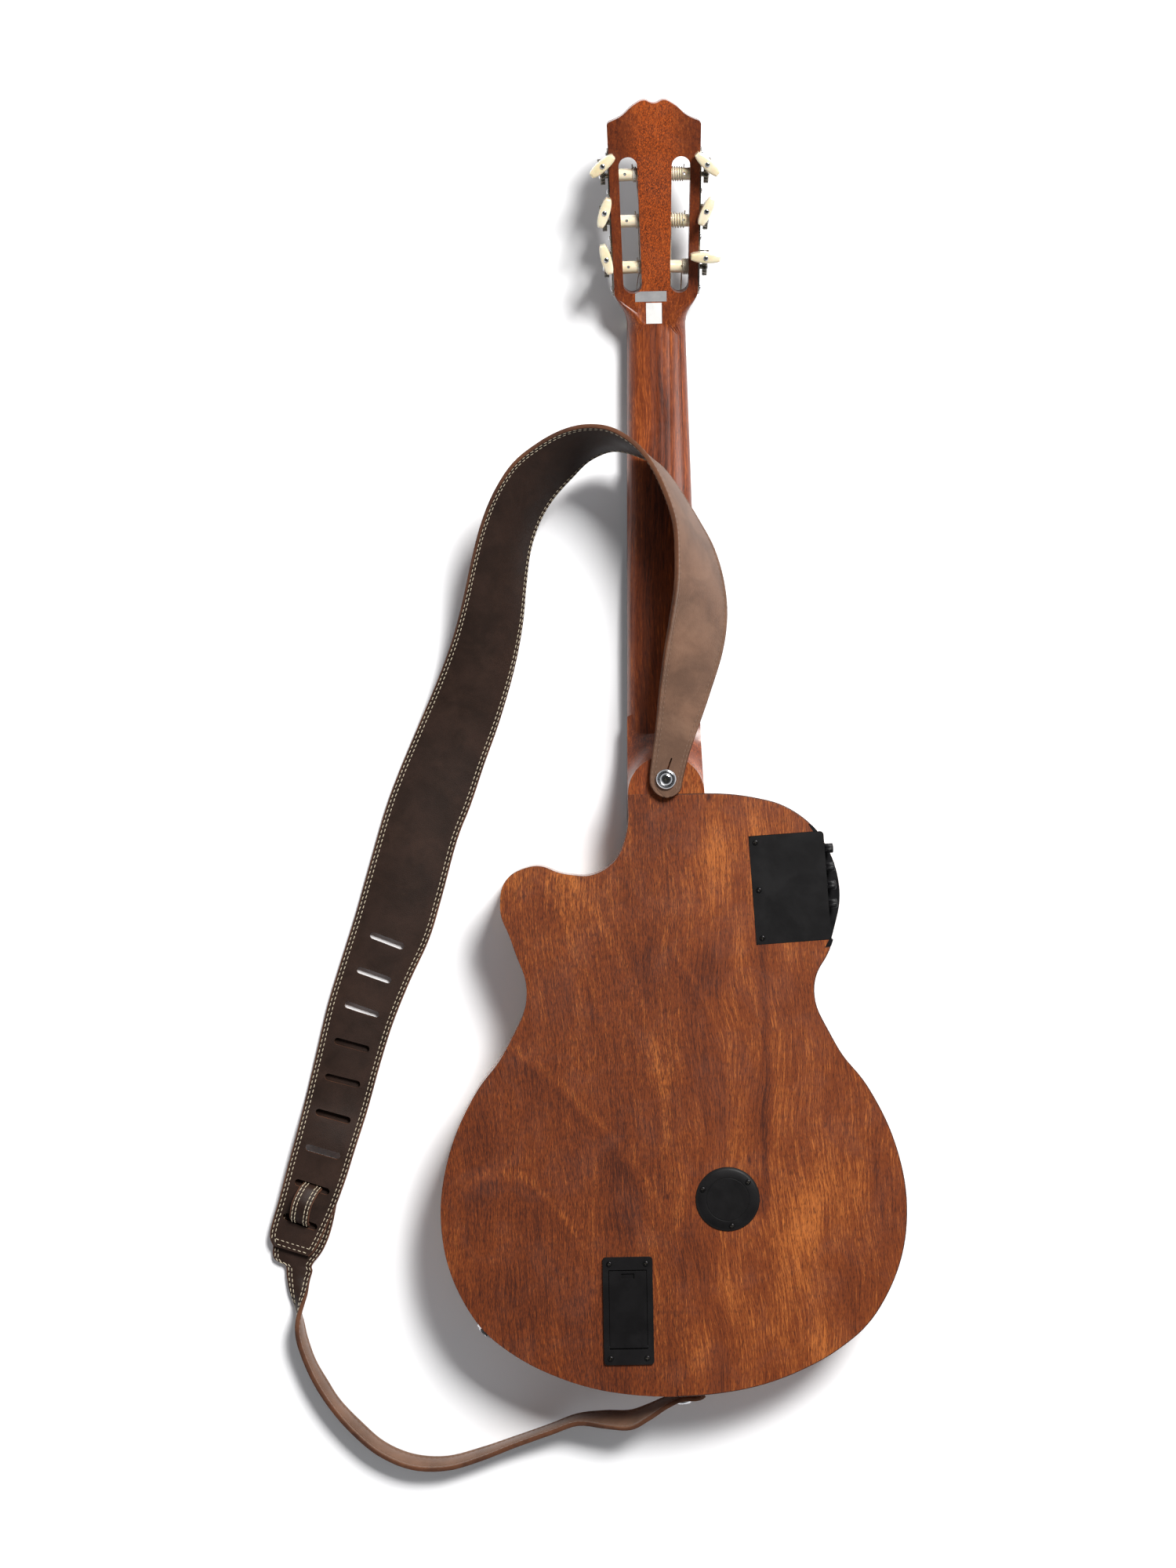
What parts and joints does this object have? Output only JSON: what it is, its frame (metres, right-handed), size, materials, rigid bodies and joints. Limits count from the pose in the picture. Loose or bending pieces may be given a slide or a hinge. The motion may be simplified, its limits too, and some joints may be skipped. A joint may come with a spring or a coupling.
{
  "type": "acoustic-electric guitar",
  "caption": "Thin-bodied nylon-string guitar with a cutaway, slotted headstock, worm machine heads, rear-loaded preamplifier and leather strap, lying face down.",
  "frame": {"origin": "middle of the nut's top, where the strings bear on it and the guitar rests on the floor", "axes": "+Y along the neck towards the headstock, +Z from the strings to the back, +X to the right of someone who looks at the back"},
  "size_m": [0.4875, 1.0455, 0.0897],
  "materials": {
    "brace_wood": "bare",
    "back_wood": "satin",
    "battery_case": "plain",
    "black_plastic": "moulded",
    "board_wood": "oiled",
    "chrome_trim": "polished",
    "fret_metal": "polished",
    "neck_wood": "gloss",
    "bone": "polished",
    "piezo": "plain",
    "circuit": "lacquered",
    "side_wood": "satin",
    "leather_brown": "grain",
    "nylon_clear": "clear",
    "wound_metal": "wound",
    "top_wood": "gloss",
    "rod_metal": "plain",
    "ivory_plastic": "polished",
    "plate_metal": "brushed",
    "lead_cover": "plain"
  },
  "bodies": {
    "guitar": {"back_braces": "brace_wood", "back_half_left": "back_wood", "back_half_right": "back_wood", "battery": "battery_case", "battery_frame": "black_plastic", "bridge": "board_wood", "bridge_plate": "brace_wood", "cover_screws": "chrome_trim", "fingerboard": "board_wood", "frets": "fret_metal", "headstock_veneer": "board_wood", "heel_cap": "neck_wood", "jack": "chrome_trim", "jack_plate": "black_plastic", "linings": "brace_wood", "neck": "neck_wood", "neck_block": "brace_wood", "nut": "bone", "pickup": "piezo", "preamp_board": "circuit", "preamp_cover": "black_plastic", "preamp_housing": "black_plastic", "round_cover": "black_plastic", "saddle": "bone", "side_rim": "side_wood", "strap": "leather_brown", "strap_buttons": "chrome_trim", "strap_tail": "leather_brown", "string_1": "nylon_clear", "string_2": "nylon_clear", "string_3": "nylon_clear", "string_4": "wound_metal", "string_5": "wound_metal", "string_6": "wound_metal", "tail_block": "brace_wood", "top_braces": "brace_wood", "top_plate": "top_wood", "truss_rod": "rod_metal", "tuner_plate_left": "plate_metal", "tuner_plate_right": "plate_metal", "tuner_screws": "chrome_trim", "wiring": "lead_cover"},
    "tuner_button_1": {"tuner_button_1": "ivory_plastic"},
    "tuner_button_2": {"tuner_button_2": "ivory_plastic"},
    "tuner_button_3": {"tuner_button_3": "ivory_plastic"},
    "tuner_button_4": {"tuner_button_4": "ivory_plastic"},
    "tuner_button_5": {"tuner_button_5": "ivory_plastic"},
    "tuner_button_6": {"tuner_button_6": "ivory_plastic"},
    "tuner_roller_1": {"tuner_roller_1": "ivory_plastic"},
    "tuner_roller_2": {"tuner_roller_2": "ivory_plastic"},
    "tuner_roller_3": {"tuner_roller_3": "ivory_plastic"},
    "tuner_roller_4": {"tuner_roller_4": "ivory_plastic"},
    "tuner_roller_5": {"tuner_roller_5": "ivory_plastic"},
    "tuner_roller_6": {"tuner_roller_6": "ivory_plastic"},
    "knob_1": {"knob_1": "black_plastic"},
    "knob_2": {"knob_2": "black_plastic"},
    "knob_3": {"knob_3": "black_plastic"},
    "knob_4": {"knob_4": "black_plastic"},
    "battery_door": {"battery_door": "black_plastic"}
  },
  "joints": [
    {"name": "roller_1_turn", "type": "hinge", "parent": "guitar", "child": "tuner_roller_1", "pos_m": [-0.01808, 0.04081, 0.0281], "axis": [-0.9997, -0.0253, -0.0068], "continuous": true, "deforming": ["string_1"]},
    {"name": "roller_2_turn", "type": "hinge", "parent": "guitar", "child": "tuner_roller_2", "pos_m": [-0.019, 0.07461, 0.03716], "axis": [-0.9997, -0.0253, -0.0068], "continuous": true, "deforming": ["string_2"]},
    {"name": "roller_3_turn", "type": "hinge", "parent": "guitar", "child": "tuner_roller_3", "pos_m": [-0.01992, 0.10841, 0.04621], "axis": [-0.9997, -0.0253, -0.0068], "continuous": true, "deforming": ["string_3"]},
    {"name": "roller_4_turn", "type": "hinge", "parent": "guitar", "child": "tuner_roller_4", "pos_m": [0.01992, 0.10841, 0.04621], "axis": [0.9997, -0.0253, -0.0068], "continuous": true, "deforming": ["string_4"]},
    {"name": "roller_5_turn", "type": "hinge", "parent": "guitar", "child": "tuner_roller_5", "pos_m": [0.019, 0.07461, 0.03716], "axis": [0.9997, -0.0253, -0.0068], "continuous": true, "deforming": ["string_5"]},
    {"name": "roller_6_turn", "type": "hinge", "parent": "guitar", "child": "tuner_roller_6", "pos_m": [0.01808, 0.04081, 0.0281], "axis": [0.9997, -0.0253, -0.0068], "continuous": true, "deforming": ["string_6"]},
    {"name": "button_1_turn", "type": "hinge", "parent": "guitar", "child": "tuner_button_1", "pos_m": [-0.03771, 0.04902, 0.0303], "axis": [0, -0.2588, 0.9659], "continuous": true},
    {"name": "button_2_turn", "type": "hinge", "parent": "guitar", "child": "tuner_button_2", "pos_m": [-0.03862, 0.08281, 0.03935], "axis": [0, -0.2588, 0.9659], "continuous": true},
    {"name": "button_3_turn", "type": "hinge", "parent": "guitar", "child": "tuner_button_3", "pos_m": [-0.03954, 0.11661, 0.04841], "axis": [0, -0.2588, 0.9659], "continuous": true},
    {"name": "button_4_turn", "type": "hinge", "parent": "guitar", "child": "tuner_button_4", "pos_m": [0.03954, 0.11661, 0.04841], "axis": [0, -0.2588, 0.9659], "continuous": true},
    {"name": "button_5_turn", "type": "hinge", "parent": "guitar", "child": "tuner_button_5", "pos_m": [0.03862, 0.08281, 0.03935], "axis": [0, -0.2588, 0.9659], "continuous": true},
    {"name": "button_6_turn", "type": "hinge", "parent": "guitar", "child": "tuner_button_6", "pos_m": [0.03771, 0.04902, 0.0303], "axis": [0, -0.2588, 0.9659], "continuous": true},
    {"name": "knob_1_turn", "type": "hinge", "parent": "guitar", "child": "knob_1", "pos_m": [0.11922, -0.40661, 0.0505], "axis": [0.9984, 0.0558, 0], "range_deg": [-150, 150]},
    {"name": "knob_2_turn", "type": "hinge", "parent": "guitar", "child": "knob_2", "pos_m": [0.12, -0.42059, 0.0505], "axis": [0.9984, 0.0558, 0], "range_deg": [-150, 150]},
    {"name": "knob_3_turn", "type": "hinge", "parent": "guitar", "child": "knob_3", "pos_m": [0.12078, -0.43457, 0.0505], "axis": [0.9984, 0.0558, 0], "range_deg": [-150, 150]},
    {"name": "knob_4_turn", "type": "hinge", "parent": "guitar", "child": "knob_4", "pos_m": [0.12157, -0.44854, 0.0505], "axis": [0.9984, 0.0558, 0], "range_deg": [-150, 150]},
    {"name": "battery_door_hinge", "type": "hinge", "parent": "guitar", "child": "battery_door", "pos_m": [-0.0359, -0.78051, 0.0605], "axis": [1, 0, 0], "range_deg": [0, 100]}
  ],
  "couplings": [
    {"joint": "roller_1_turn", "follows": "button_1_turn", "ratio": -0.071429},
    {"joint": "roller_2_turn", "follows": "button_2_turn", "ratio": -0.071429},
    {"joint": "roller_3_turn", "follows": "button_3_turn", "ratio": -0.071429},
    {"joint": "roller_4_turn", "follows": "button_4_turn", "ratio": -0.071429},
    {"joint": "roller_5_turn", "follows": "button_5_turn", "ratio": -0.071429},
    {"joint": "roller_6_turn", "follows": "button_6_turn", "ratio": -0.071429}
  ]
}
